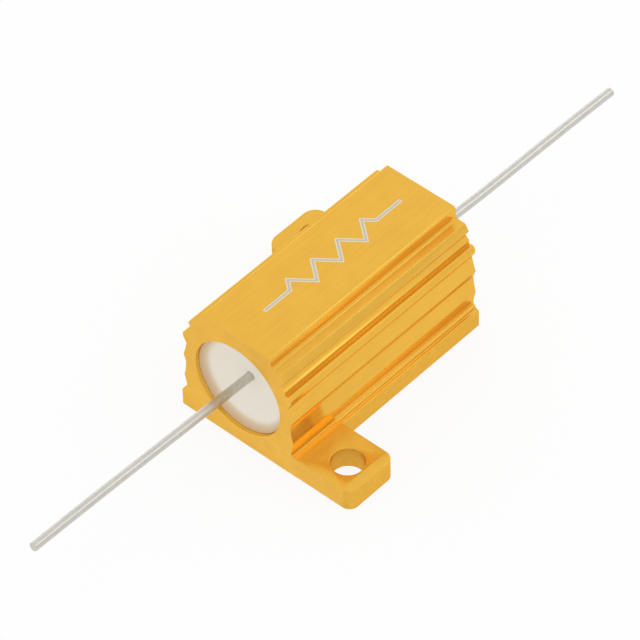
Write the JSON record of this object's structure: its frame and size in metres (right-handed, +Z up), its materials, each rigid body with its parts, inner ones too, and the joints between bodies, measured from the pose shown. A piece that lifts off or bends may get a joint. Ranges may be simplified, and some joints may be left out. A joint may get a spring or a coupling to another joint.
{
  "type": "aluminium housed power resistor",
  "caption": "Power resistor in a gold ribbed aluminium housing with diagonal screw feet and straight axial wire leads.",
  "frame": {"origin": "centre of the flat mounting face, midway between the two ends of the body", "axes": "+X along the leads, with the front foot at -X on the -Y side; +Y across the body towards the rear foot; +Z up from the mounting face"},
  "size_m": [0.0585, 0.0204, 0.0104],
  "materials": {
    "gold_anodised_aluminium": "satin gold anodised, ribbed extrusion",
    "moulded_filler": "matt off-white moulded compound",
    "core_ceramic": "matt fired ceramic",
    "resistance_wire": "drawn resistance wire",
    "cap_steel": "pressed plated steel",
    "tinned_lead": "tinned wire"
  },
  "bodies": {
    "root": {"housing": "gold_anodised_aluminium", "filler": "moulded_filler", "ceramic_core": "core_ceramic", "resistance_winding": "resistance_wire", "end_cap_front": "cap_steel", "end_cap_rear": "cap_steel", "lead_front": "tinned_lead", "lead_rear": "tinned_lead"}
  },
  "joints": []
}
